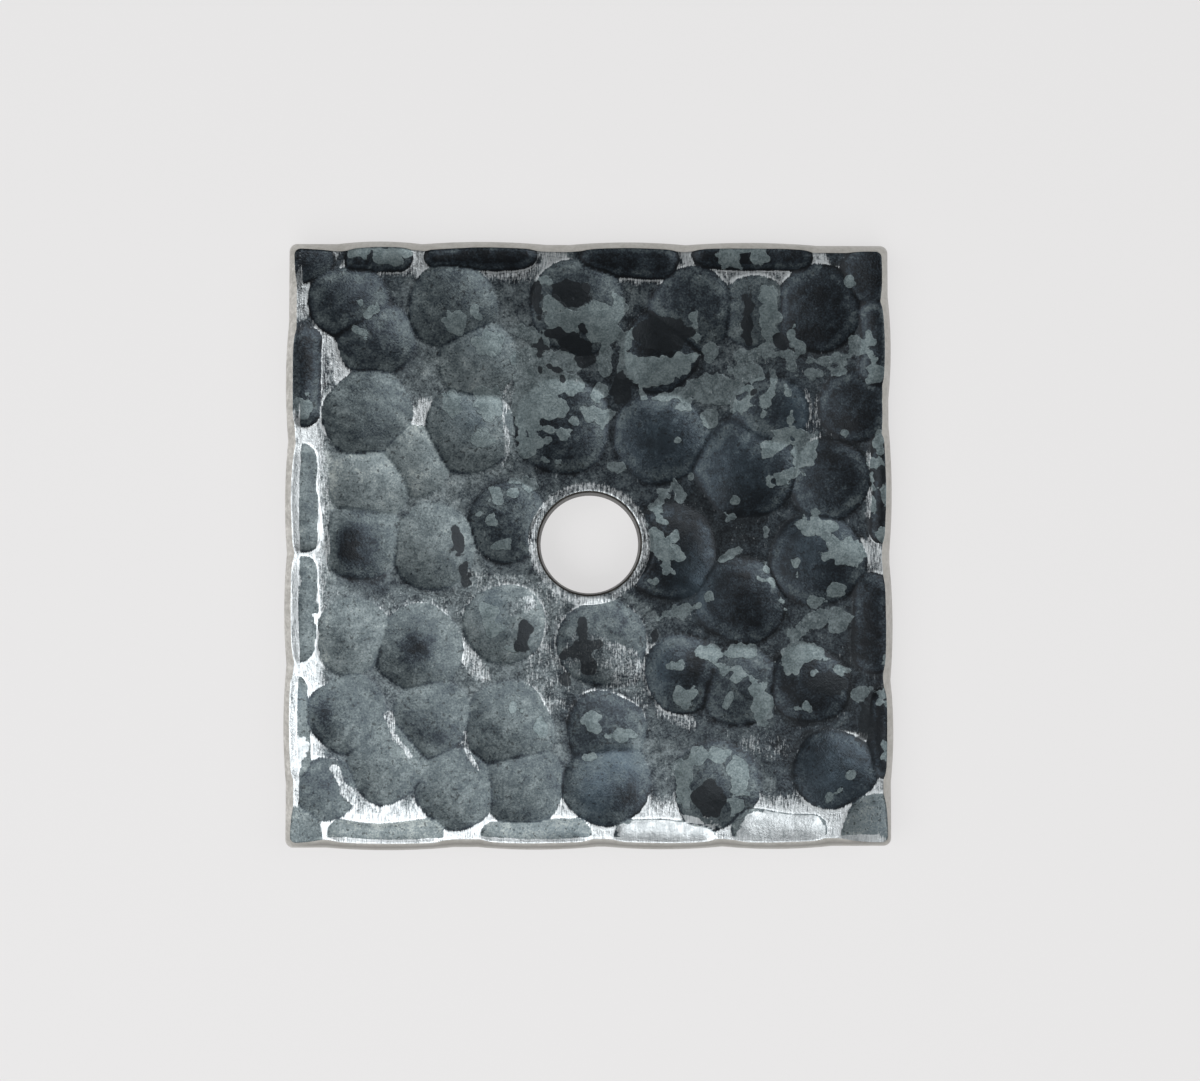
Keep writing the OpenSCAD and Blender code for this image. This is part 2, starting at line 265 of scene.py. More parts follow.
# Places where the scale has a blue cast, laid out in the same way
BLUED = [
    (0.5, -31, 2.2, 3.6, 1), (4, -27, 3, 2.2, 0.8), (30.5, -28, 4, 4, 0.8), (9, 13, 5, 5, 0.6),
    (26, 16, 1.8, 4, 0.9), (13, -5, 2.5, 4, 0.8), (-12, -9, 1.6, 2.4, 0.9), (9, -15.5, 1.4, 3, 0.8),
    (-36.5, -19, 1.4, 2, 1), (-13, 25, 3, 2, 0.6), (-15, 16, 3, 3, 0.6), (28, 0, 4, 4, 0.5),
    (19, 10, 5, 5, 0.5), (-4, -36.5, 6, 2.5, 0.5), (36, -35, 3, 3, 0.7),
]

# Blows rubbed nearly bare, laid out as the flakes are
RUBBED = [
    (9.7, -36, 6.6, 3, 0), (24, -35.8, 6, 3.6, 0), (-36.6, -25.5, 2, 2.8, 0), (-37, -5, 1.4, 2, 0),
]


def drift(x, y, run, seed):
    """A slow, smooth wander of about one either way, with waves of about that length in millimetres."""
    waves = 7
    usual_peak = 2.6
    pick = np.random.default_rng(seed)
    total = np.zeros_like(x)
    for _ in range(waves):
        heading = pick.uniform(0, 2 * math.pi)
        pace = 2 * math.pi / (run * pick.uniform(0.7, 1.6))
        start = pick.uniform(0, 2 * math.pi)
        total += np.sin((x * math.cos(heading) + y * math.sin(heading)) * pace + start)
    return total / usual_peak


def smooth(t):
    """Eases from 0 to 1."""
    t = np.clip(t, 0, 1)
    return t * t * (3 - 2 * t)


def turned(x, y, turn):
    """The place seen with the given edge at the top: along the edge, and out across it."""
    return [(x, y), (y, -x), (-x, -y), (-y, x)][turn]


def blow_heights(x, y):
    """Height of every hammer print over the flat of the plate, one row for each print."""
    wander_x = x + WANDER * drift(x, y, WANDER_RUN, 1)
    wander_y = y + WANDER * drift(x, y, WANDER_RUN, 2)
    rows = []
    for across, up, radius, _ in FACE_BLOWS:
        away = np.minimum((wander_x - across) ** 2 + (wander_y - up) ** 2, FAR_SHARE * CROWN ** 2)
        rows.append(math.sqrt(CROWN ** 2 - radius ** 2) - np.sqrt(CROWN ** 2 - away))
    for turn, place, length, width, _ in EDGE_BLOWS:
        along, out = turned(wander_x, wander_y, turn)
        rod_r = (width ** 2 / 4 + EDGE_DEPTH ** 2) / (2 * EDGE_DEPTH)
        beyond = np.maximum(np.abs(along - place) - length + width / 2, 0)
        away = np.minimum(beyond ** 2 + (out - HALF + LIP + width / 2) ** 2, FAR_SHARE * rod_r ** 2)
        rows.append(rod_r - EDGE_DEPTH - np.sqrt(rod_r ** 2 - away))
    return np.array(rows)


def hammered(x, y):
    """How far the face lies under the flat of the plate, with the ridges between prints slightly rounded."""
    prints = np.exp(-blow_heights(x, y) / RIDGE_SOFT).sum(axis=0)
    ripple = RIPPLE * (1 + drift(x, y, RIPPLE_RUN, 3).clip(-1, 1))
    face = -RIDGE_SOFT * np.log(1 + prints) - ripple
    ring = -(np.hypot(x, y) - HOLE_R - ARRIS - RING_W) * RING_H / RING_FLANK
    return np.maximum(face, np.minimum(ring, 0))


def barrel(z):
    """How far a bulged side lies in from its crest at that height."""
    return BARREL_R - np.sqrt(BARREL_R ** 2 - (z - THICK / 2) ** 2)


def outline(x, y, inset):
    """For places on the square: where they lie on the plate's outline, that far in from its bulged crest."""
    px, py = np.zeros_like(x), np.zeros_like(x)
    straight = HALF - CREST_TIP
    for turn in range(4):
        along, out = turned(x, y, turn)
        here = out >= np.abs(along) - HAIR
        u, half = along[here], HALF - inset[here]
        tip = CREST_TIP + (ARRIS_TIP - CREST_TIP) * inset[here] / BULGE
        wave = np.zeros_like(u)
        for blow_turn, place, length, _, _ in EDGE_BLOWS:
            if blow_turn == turn:
                wave = np.maximum(wave, SWELL * (1 - ((u - place) / (length + SPREAD)) ** 2))
        angle = np.maximum(np.abs(u) - straight, 0) / CREST_TIP * math.pi / 4
        run = np.minimum(np.abs(u) / straight, 1) * (half - tip)
        edge_u = np.sign(u) * (run + tip * np.sin(angle))
        edge_v = half - tip + tip * np.cos(angle) + wave
        px[here], py[here] = turned(edge_u, edge_v, (4 - turn) % 4)
    return px, py


def select_in_edit(mesh, kind, chosen):
    """Goes into edit mode with only the chosen faces or edges selected."""
    bpy.ops.object.mode_set(mode="EDIT")
    bpy.ops.mesh.select_mode(type=kind)
    bpy.ops.mesh.select_all(action="DESELECT")
    bpy.ops.object.mode_set(mode="OBJECT")
    parts = mesh.polygons if kind == "FACE" else mesh.edges
    parts.foreach_set("select", chosen)
    bpy.ops.object.mode_set(mode="EDIT")


def places(parts, name="co"):
    """Every corner point of a mesh, or the middle of every face when asked for, in millimetres."""
    flat = np.empty(len(parts) * 3)
    parts.foreach_get(name, flat)
    return flat.reshape(-1, 3) / MM


def edges_all_in(mesh, points):
    """True for each edge whose two ends are both among the points."""
    ends = np.empty(len(mesh.edges) * 2, dtype=np.int32)
    mesh.edges.foreach_get("vertices", ends)
    return points[ends.reshape(-1, 2)].all(axis=1)


def draw_down(mesh, points, rows):
    """Extrudes the loop of edges through these points straight down, a millimetre for each row."""
    select_in_edit(mesh, "EDGE", edges_all_in(mesh, points))
    for _ in range(rows):
        bpy.ops.mesh.extrude_region_move(TRANSFORM_OT_translate={"value": (0, 0, -MM)})
    bpy.ops.object.mode_set(mode="OBJECT")


def plate_net():
    """A closed net of faces for the plate: a face with a square hole, walls in marked rows, an underside."""
    bpy.ops.object.select_all(action="DESELECT")
    bpy.ops.mesh.primitive_grid_add(x_subdivisions=CELLS, y_subdivisions=CELLS, size=2 * NET_HALF * MM)
    piece = bpy.context.object
    piece.name = "hammered_plate"
    mesh = piece.data
    reach = np.abs(places(mesh.polygons, "center")[:, :2]).max(axis=1)
    select_in_edit(mesh, "FACE", reach < HOLE_CELLS / 2 * CELL)
    bpy.ops.mesh.delete(type="FACE")
    bpy.ops.object.mode_set(mode="OBJECT")

    reach = np.abs(places(mesh.vertices)[:, :2]).max(axis=1)
    draw_down(mesh, reach > NET_HALF - CELL / 2, SIDE_ROWS)
    at = places(mesh.vertices)
    reach = np.abs(at[:, :2]).max(axis=1)
    draw_down(mesh, (reach < (HOLE_CELLS + 1) / 2 * CELL) & (at[:, 2] > -0.5), WALL_ROWS)

    at = places(mesh.vertices)
    outer = np.abs(at[:, :2]).max(axis=1) > NET_HALF - CELL / 2
    bottom = np.where(outer, at[:, 2] < 0.5 - SIDE_ROWS, at[:, 2] < 0.5 - WALL_ROWS)
    select_in_edit(mesh, "EDGE", edges_all_in(mesh, bottom))
    bpy.ops.mesh.bridge_edge_loops()
    bpy.ops.object.mode_set(mode="OBJECT")
    cut = places(mesh.polygons, "center")[:, 2] < -0.1
    mesh.polygons.foreach_set("material_index", cut.astype(np.int32))
    return piece


def forge(piece):
    """Moves the net's points onto the struck plate, then breaks the sharp edge round the face."""
    mesh = piece.data
    at = places(mesh.vertices)
    x, y, row = at[:, 0], at[:, 1], np.rint(-at[:, 2])
    reach = np.maximum(np.abs(x), np.abs(y))
    away = np.hypot(x, y)
    inner = HOLE_CELLS / 2 * CELL
    outer_wall = reach > NET_HALF - CELL / 2
    hole_wall = reach < inner + CELL / 2

    # The sides lean, so the place and the height of the face's edge are found in turns
    edge_x, edge_y = x * HALF / reach, y * HALF / reach
    top = np.full_like(x, THICK)
    for _ in range(4):
        arris_x, arris_y = outline(edge_x, edge_y, barrel(top))
        top = THICK + hammered(arris_x, arris_y)

    # The face: round beside the hole, square farther out, wavy along the edge
    mouth = HOLE_R + ARRIS
    rounded = mouth + (CALM - mouth) * (reach - inner) / (CALM - inner)
    blend = smooth((reach - inner) / (CALM - inner))
    flat_x = np.where(reach < CALM, x / away * rounded * (1 - blend) + x * blend, x)
    flat_y = np.where(reach < CALM, y / away * rounded * (1 - blend) + y * blend, y)
    pull = smooth((reach - NET_HALF + MARGIN) / MARGIN)
    flat_x += pull * (arris_x - x * NET_HALF / reach)
    flat_y += pull * (arris_y - y * NET_HALF / reach)
    new = np.stack([flat_x, flat_y, THICK + hammered(flat_x, flat_y)], axis=1)

    side = outer_wall & (row > 0)
    height = top * (1 - row / SIDE_ROWS)
    side_x, side_y = outline(edge_x, edge_y, barrel(height))
    new[side] = np.stack([side_x, side_y, height], axis=1)[side]

    wall = hole_wall & (row > 0)
    new[wall, 0] = (x / away * HOLE_R)[wall]
    new[wall, 1] = (y / away * HOLE_R)[wall]
    new[wall, 2] = ((THICK - ARRIS) * (1 - (row - 1) / (WALL_ROWS - 1)))[wall]
    mesh.vertices.foreach_set("co", (new * MM).ravel())
    mesh.update()

    select_in_edit(mesh, "EDGE", edges_all_in(mesh, outer_wall & (row == 0)))
    bpy.ops.mesh.bevel(offset=BROKEN_EDGE * MM, segments=2, affect="EDGES")
    bpy.ops.mesh.select_all(action="SELECT")
    bpy.ops.mesh.normals_make_consistent(inside=False)
    bpy.ops.object.mode_set(mode="OBJECT")
    bpy.ops.object.shade_smooth_by_angle(angle=math.radians(50))


def patches(x, y, blobs):
    """How far inside the nearest of these ovals a place lies, in millimetres; less than 0 outside all."""
    inside = np.full_like(x, -1)
    for across, up, wide, high, turn in blobs:
        c, s = math.cos(math.radians(turn)), math.sin(math.radians(turn))
        u = ((x - across) * c + (y - up) * s) / wide
        v = ((y - up) * c - (x - across) * s) / high
        inside = np.maximum(inside, (1 - np.hypot(u, v)) * min(wide, high))
    return inside


def strips(x, y, lines):
    """How strongly the strongest of these strokes covers a place."""
    most = np.zeros_like(x)
    for x1, y1, x2, y2, half, amount in lines:
        dx, dy = x2 - x1, y2 - y1
        along = np.clip(((x - x1) * dx + (y - y1) * dy) / (dx ** 2 + dy ** 2), 0, 1)
        away = np.hypot(x - x1 - along * dx, y - y1 - along * dy)
        most = np.maximum(most, amount * (1 - smooth(away / half - 0.5)))
    return most


def clouds(x, y, zones):
    """Soft round zones added up."""
    total = np.zeros_like(x)
    for across, up, wide, high, amount in zones:
        total += amount * np.exp(-((x - across) / wide) ** 2 - ((y - up) / high) ** 2)
    return total


def rims(x, y):
    """How far each place is inside the rim of its print in millimetres, and which way it slopes there:
    1 where the wall looks down and to the left, -1 where it looks up and to the right."""
    step = 0.02
    least_slope = 0.05
    full_slope = 0.2
    here, right, up = (np.vstack([blow_heights(x + dx, y + dy), np.zeros((1, len(x)))])
                       for dx, dy in ((0, 0), (step, 0), (0, step)))
    point = np.arange(len(x))
    first = here.argmin(axis=0)
    low = here[first, point]
    here[first, point] = np.inf
    second = here.argmin(axis=0)
    gap = here[second, point] - low
    to_right, to_up = right[first, point], up[first, point]
    slope = np.hypot(right[second, point] - to_right - gap, up[second, point] - to_up - gap) / step
    lean = 0.6 * (to_right - low) + 0.8 * (to_up - low)
    return gap / slope.clip(least_slope), lean / step / full_slope


def quarters(x, y):
    """How fully a place belongs to the lower and to the left quarter of the plate, with a soft seam."""
    seam = 4
    lower = smooth((-y - np.abs(x) + seam) / (2 * seam))
    left = smooth((-x - np.abs(y) + seam) / (2 * seam))
    return lower, left


def edge_line(x, y, lower, left):
    """The bright line rubbed along the lower and left edges, which fades out at the corner between them."""
    reach = np.maximum(np.abs(x), np.abs(y)).clip(1)
    edge_x, edge_y = outline(x * HALF / reach, y * HALF / reach, np.full_like(x, BULGE))
    shore = np.maximum(np.abs(edge_x), np.abs(edge_y)) - reach
    width = 0.5 + 0.4 * left
    fade = smooth((np.hypot(x + HALF, y + HALF) - 4) / 4)
    return smooth((width - shore) / 0.4) * np.maximum(lower, left) * fade


def side_shade_and_grime(z, lower, left):
    """How dark a side is painted, as painted shade and light over a little grime: lightest on the left,
    which faces the windows, darker just under the lower edge and darkest from the crest down, where the
    bulge turns under.
    """
    depth = THICK - z
    under = smooth((depth - 0.2) / 0.3) * smooth((1.7 - depth) / 1)
    return 0.15 - 0.35 * left + 0.4 * lower * under + 0.55 * smooth((depth - 1.8) / 1.4)


def mark_finish(piece):
    """Notes for the materials where it is high, pale, flaked, black, blue, rubbed or brushed, and how dark
    its sides are painted with shade and grime.
    """
    mesh = piece.data
    x, y, z = places(mesh.vertices).T
    away = np.hypot(x, y)
    lower, left = quarters(x, y)
    heights = blow_heights(x, y)
    inside, facing = rims(x, y)
    # Each print's tone, partly its own and partly painted light from the windows at the lower left
    print_tone_and_light = np.array([blow[-1] for blow in FACE_BLOWS + EDGE_BLOWS])
    ring = smooth((HOLE_R + ARRIS + RING_W + 0.7 - away) / 0.5)
    ridge = strips(x + 0.15 * drift(x, y, 3, 8), y, RIDGES)
    scoured = strips(x, y, SCOURED)
    raised = np.max([ring, edge_line(x, y, lower, left), ridge, scoured], axis=0)
    # The hole's wall and the underside are painted fully dark: painted shade, with some dark oxide
    hole_or_underside = (away < 10) | (z < 0.05)
    notes = {
        "lift": np.maximum(heights.min(axis=0), 0.3 * raised - 0.15).clip(-0.5, 0.5),
        "pale": print_tone_and_light[heights.argmin(axis=0)] - clouds(x, y, SMUDGES),
        "inside": inside.clip(0, 3),
        "facing": facing.clip(-1, 1),
        "flaked": patches(x, y, FLAKES),
        "black": patches(x, y, BLACK_SCALE),
        "rubbed": patches(x, y, RUBBED),
        "blued": clouds(x, y, BLUED).clip(0, 1),
        "brushed": np.max([strips(x, y, BRUSHED), 0.6 * ridge, 0.25 * scoured, 0.6 * ring], axis=0),
        "shade_and_grime": np.where(hole_or_underside, 1, side_shade_and_grime(z, lower, left)),
    }
    for name, values in notes.items():
        mesh.attributes.new(name, "FLOAT", "POINT").data.foreach_set("value", values)


def add(tree, kind, inputs=None, **settings):
    """Adds one node with its settings; an input is a plain value or another node's output."""
    made = tree.nodes.new(kind)
    for name, value in settings.items():
        setattr(made, name, value)
    for socket, value in (inputs or {}).items():
        if isinstance(value, bpy.types.NodeSocket):
            tree.links.new(value, made.inputs[socket])
        else:
            made.inputs[socket].default_value = value
    return made


def colour(code):
    """A colour written as six hex digits, as linear light."""
    parts = [int(code[i:i + 2], 16) / 255 for i in (0, 2, 4)]
    return [p / 12.92 if p <= 0.04045 else ((p + 0.055) / 1.055) ** 2.4 for p in parts] + [1]


def per(size):
    """Scale of a pattern whose grains are that many millimetres across."""
    return 1 / (size * MM)


def new_material(name):
    """An empty material with its shader: the tree, the shader and the object's own coordinates."""
    made = bpy.data.materials.new(name)
    made.use_nodes = True
    tree = made.node_tree
    tree.nodes.clear()
    shader = add(tree, "ShaderNodeBsdfPrincipled")
    add(tree, "ShaderNodeOutputMaterial", {"Surface": shader.outputs["BSDF"]})
    return made, tree, shader, add(tree, "ShaderNodeTexCoord").outputs["Object"]


def scale_patterns(tree, place):
    """What the scale is drawn from, by name: the notes on the plate's points, and patterns in real sizes."""
    noted = ("lift", "pale", "inside", "facing", "flaked", "black", "rubbed", "brushed", "blued")
    on = {name: add(tree, "ShaderNodeAttribute", attribute_name=name).outputs["Fac"] for name in noted}

    # Clouds, mottling, the ragged outline of patches, grit, nicks and the brush's strokes
    drawn = add(tree, "ShaderNodeMapping",
                {"Vector": place, "Scale": (per(0.14), per(1.1), per(1.1))}).outputs[0]
    for name, where, scale, detail in (
            ("cloud", place, per(4.5), 3), ("mottle", place, per(1.1), 4), ("ragged", place, per(1.6), 3),
            ("grit", place, per(0.24), 2), ("chips", place, per(0.5), 1), ("stroke", drawn, 1, 3)):
        on[name] = add(tree, "ShaderNodeTexNoise", {"Vector": where, "Scale": scale, "Detail": detail,
                                                    "Roughness": 0.6}).outputs["Fac"]
    lobes = add(tree, "ShaderNodeTexVoronoi", {"Vector": place, "Scale": per(1.5)},
                voronoi_dimensions="2D").outputs["Distance"]

    # Even about 0: frayed and lobed outlines. From 0 to 1: how dark a print is, how rough the metal looks
    on["frayed"] = add(tree, "ShaderNodeMath", {0: on["ragged"], 1: 0.5}, operation="SUBTRACT").outputs[0]
    on["lobed"] = add(tree, "ShaderNodeMath", {0: lobes, 1: -1, 2: 0.4}, operation="MULTIPLY_ADD").outputs[0]
    on["deep"] = add(tree, "ShaderNodeMapRange",
                     {"Value": on["pale"], "From Min": 0.5, "From Max": 0.25}).outputs[0]
    grain = add(tree, "ShaderNodeMath", {0: on["mottle"], 1: on["grit"]}, operation="ADD").outputs[0]
    on["rough"] = add(tree, "ShaderNodeMapRange",
                      {"Value": grain, "From Min": 0.8, "From Max": 1.25}).outputs[0]
    return on


def scale_tone(tree, on):
    """How pale the scale is: each print's tone, clouded, mottled and gritty, with painted shade and light on
    the wall by its rim.
    """
    tone = on["pale"]
    for name, share in (("cloud", 0.45), ("mottle", 0.6), ("grit", 0.7)):
        even = add(tree, "ShaderNodeMath", {0: on[name], 1: 0.5}, operation="SUBTRACT").outputs[0]
        tone = add(tree, "ShaderNodeMath", {0: even, 1: share, 2: tone}, operation="MULTIPLY_ADD").outputs[0]

    # Painted shade and light on the wall of a print: dark where it looks away from the windows, and on pale
    # prints a little paler where it faces them
    near = add(tree, "ShaderNodeMath", {0: on["frayed"], 1: 0.5, 2: on["inside"]},
               operation="MULTIPLY_ADD").outputs[0]
    rim = add(tree, "ShaderNodeMapRange",
              {"Value": near, "From Min": 0.45, "From Max": 0.05, "To Max": 0.28}).outputs[0]
    most = add(tree, "ShaderNodeMapRange", {"Value": on["deep"], "To Min": 0.15, "To Max": -0.4}).outputs[0]
    painted_light_and_shade = add(tree, "ShaderNodeMapRange", {"Value": on["facing"], "From Min": -0.8, "From Max": 0.8,
                                           "To Min": -1, "To Max": most}).outputs[0]
    tone = add(tree, "ShaderNodeMath", {0: rim, 1: painted_light_and_shade, 2: tone}, operation="MULTIPLY_ADD").outputs[0]

    # Painted sheen on dark prints: a paler ring inside the rim and a darker middle
    for start, end, amount in ((0.2, 1, 0.13), (1, 3, -0.2)):
        ring = add(tree, "ShaderNodeMapRange",
                   {"Value": near, "From Min": start, "From Max": end, "To Max": amount},
                   interpolation_type="SMOOTHSTEP").outputs[0]
        tone = add(tree, "ShaderNodeMath", {0: ring, 1: on["deep"], 2: tone},
                   operation="MULTIPLY_ADD").outputs[0]
    layer = add(tree, "ShaderNodeMapRange", {"Value": on["ragged"], "From Min": 0.53, "From Max": 0.545,
                                             "To Min": -0.03, "To Max": 0.06}).outputs[0]
    return add(tree, "ShaderNodeMath", {0: tone, 1: layer}, operation="ADD").outputs[0]


def scale_colour(tree, on, tone):
    """Blue-black to grey-green, with a blue cast in places."""
    ramp = add(tree, "ShaderNodeValToRGB", {"Fac": tone})
    stops = ramp.color_ramp.elements
    stops[0].color, stops[1].color = colour("13171B"), colour("8F9694")
    for spot, code in ((0.25, "283037"), (0.5, "495255"), (0.75, "6A7375")):
        stops.new(spot).color = colour(code)
    cast = add(tree, "ShaderNodeMath", {0: on["blued"], 1: on["ragged"]}, operation="MULTIPLY").outputs[0]
    return add(tree, "ShaderNodeMix", {0: cast, 6: ramp.outputs[0], 7: colour("45545F")},
               data_type="RGBA").outputs[2]


def patch(tree, on, distance, wander, soft):
    """Patches with lobed, crisp outlines, from how far a place lies inside their ovals."""
    for name, share in (("frayed", 0.5), ("lobed", 0.34)):
        distance = add(tree, "ShaderNodeMath", {0: on[name], 1: share * wander, 2: distance},
                       operation="MULTIPLY_ADD").outputs[0]
    return add(tree, "ShaderNodeMapRange",
               {"Value": distance, "From Min": -0.05 - soft, "From Max": -0.05 + soft},
               interpolation_type="SMOOTHSTEP").outputs[0]


def flaked_skin(tree, on, skin):
    """The scale with its flakes, each with a dark hem, its blackest patches and dark nicks all over."""
    flake = patch(tree, on, on["flaked"], 2.6, 0.03)
    hem = patch(tree, on, on["flaked"], 2.6, 0.2)
    black = patch(tree, on, on["black"], 2.2, 0.06)
    hem = add(tree, "ShaderNodeMath", {0: hem, 1: 0.5}, operation="MULTIPLY").outputs[0]
    grey = add(tree, "ShaderNodeMix", {0: on["rough"], 6: colour("4A5558"), 7: colour("707B7D")},
               data_type="RGBA").outputs[2]
    nick = add(tree, "ShaderNodeMapRange",
               {"Value": on["chips"], "From Min": 0.63, "From Max": 0.68, "To Max": 0.6}).outputs[0]
    spared = add(tree, "ShaderNodeMapRange", {"Value": flake, "To Min": 1, "To Max": 0.3}).outputs[0]
    nick = add(tree, "ShaderNodeMath", {0: nick, 1: spared}, operation="MULTIPLY").outputs[0]
    for share, tint in ((hem, colour("1D2124")), (flake, grey),
                        (black, colour("1C2125")), (nick, colour("16191C"))):
        skin = add(tree, "ShaderNodeMix", {0: share, 6: skin, 7: tint}, data_type="RGBA").outputs[2]
    return skin, flake, black


def brushed_land(tree, on, black):
    """High places the brush can reach, their hem frayed along its strokes, and how bare it has made them."""
    hem = on["lift"]
    for name in ("frayed", "stroke"):
        hem = add(tree, "ShaderNodeMath", {0: on[name], 1: 0.12, 2: hem},
                  operation="MULTIPLY_ADD").outputs[0]
    land = add(tree, "ShaderNodeMapRange", {"Value": hem, "From Min": 0.045, "From Max": 0.075},
               interpolation_type="SMOOTHSTEP").outputs[0]
    spared = add(tree, "ShaderNodeMapRange", {"Value": black, "To Min": 1, "To Max": 0.15}).outputs[0]
    land = add(tree, "ShaderNodeMath", {0: land, 1: spared}, operation="MULTIPLY").outputs[0]

    # The crest beside a rim is brighter than the rest
    crest = add(tree, "ShaderNodeMapRange",
                {"Value": hem, "From Min": 0.15, "From Max": 0.08, "To Max": 0.8}).outputs[0]
    reached = add(tree, "ShaderNodeMath", {0: on["brushed"], 1: crest, 2: on["brushed"]},
                  operation="MULTIPLY_ADD").outputs[0]
    reached = add(tree, "ShaderNodeMath", {0: on["frayed"], 1: 0.8, 2: reached},
                  operation="MULTIPLY_ADD").outputs[0]
    scratch = add(tree, "ShaderNodeMath", {0: on["grit"], 1: 0.5, 2: on["stroke"]},
                  operation="MULTIPLY_ADD").outputs[0]
    shine = add(tree, "ShaderNodeMath", {0: reached, 1: 0.55, 2: scratch},
                operation="MULTIPLY_ADD").outputs[0]
    bright = add(tree, "ShaderNodeMapRange", {"Value": shine, "From Min": 0.95, "From Max": 1.3}).outputs[0]
    return land, add(tree, "ShaderNodeMath", {0: land, 1: bright}, operation="MULTIPLY").outputs[0]


def rubbed_dish(tree, on):
    """How bare the blows are that have been rubbed inside their rims, speckled with scale that is left."""
    edge = add(tree, "ShaderNodeMath", {0: on["frayed"], 1: 2.5, 2: on["rubbed"]},
               operation="MULTIPLY_ADD").outputs[0]
    edge = add(tree, "ShaderNodeMath", {0: edge, 1: on["inside"]}, operation="MINIMUM").outputs[0]
    rub = add(tree, "ShaderNodeMapRange",
              {"Value": edge, "From Min": 0.12, "From Max": 0.25, "To Max": 0.95}).outputs[0]
    speckle = add(tree, "ShaderNodeMapRange",
                  {"Value": on["mottle"], "From Min": 0.35, "From Max": 0.6, "To Min": 0.55}).outputs[0]
    return add(tree, "ShaderNodeMath", {0: rub, 1: speckle}, operation="MULTIPLY").outputs[0]


def worn_skin(tree, on, skin, land, bare):
    """The skin with its lands worn to a rough grey, and bright steel where it is bare."""
    worn = add(tree, "ShaderNodeMapRange",
               {"Value": on["brushed"], "To Min": 0.35, "To Max": 0.6}).outputs[0]
    worn = add(tree, "ShaderNodeMath", {0: land, 1: worn}, operation="MULTIPLY").outputs[0]
    grey = add(tree, "ShaderNodeMix", {0: on["deep"], 6: colour("7A8387"), 7: colour("4E565B")},
               data_type="RGBA").outputs[2]
    grey = add(tree, "ShaderNodeMix", {0: on["rough"], 6: colour("161A1F"), 7: grey},
               data_type="RGBA").outputs[2]
    steel = add(tree, "ShaderNodeMix", {0: on["stroke"], 6: colour("777D81"), 7: colour("D4D9DB")},
                data_type="RGBA").outputs[2]
    for share, tint in ((worn, grey), (bare, steel)):
        skin = add(tree, "ShaderNodeMix", {0: share, 6: skin, 7: tint}, data_type="RGBA").outputs[2]
    return skin


def mill_scale():
    """Hot-rolled scale on forged steel: blue-black to grey-green in the prints, pale where a layer flaked,
    brushed to bare metal on the ridges between them."""
    made, tree, shader, place = new_material("flaked_mill_scale")
    on = scale_patterns(tree, place)
    tone = scale_tone(tree, on)
    skin, flake, black = flaked_skin(tree, on, scale_colour(tree, on, tone))
    land, bare = brushed_land(tree, on, black)
    bare = add(tree, "ShaderNodeMath", {0: bare, 1: rubbed_dish(tree, on)}, operation="MAXIMUM").outputs[0]
    skin = worn_skin(tree, on, skin, land, bare)

    metal = add(tree, "ShaderNodeMapRange", {"Value": bare, "To Min": 0.7, "To Max": 1}).outputs[0]
    matt = add(tree, "ShaderNodeMath", {0: tone, 1: flake}, operation="ADD").outputs[0]
    matt = add(tree, "ShaderNodeMapRange", {"Value": matt, "From Min": 0.2, "From Max": 0.6,
                                            "To Min": 0.28, "To Max": 0.4}).outputs[0]
    gloss = add(tree, "ShaderNodeMix", {0: bare, 2: matt, 3: 0.34}).outputs[0]

    # Relief in millimetres: a layer missing where it flaked, grit, mottling, the brush's lines on bare metal
    height = add(tree, "ShaderNodeMath", {0: flake, 1: -0.02}, operation="MULTIPLY").outputs[0]
    lines = add(tree, "ShaderNodeMath", {0: on["stroke"], 1: bare}, operation="MULTIPLY").outputs[0]
    for pattern, share in ((on["grit"], 0.025), (on["mottle"], 0.04), (lines, 0.014)):
        height = add(tree, "ShaderNodeMath", {0: pattern, 1: share, 2: height},
                     operation="MULTIPLY_ADD").outputs[0]
    bump = add(tree, "ShaderNodeBump", {"Height": height, "Distance": MM, "Strength": 1}).outputs[0]
    for socket, value in (("Base Color", skin), ("Metallic", metal), ("Roughness", gloss), ("Normal", bump)):
        tree.links.new(value, shader.inputs[socket])
    return made


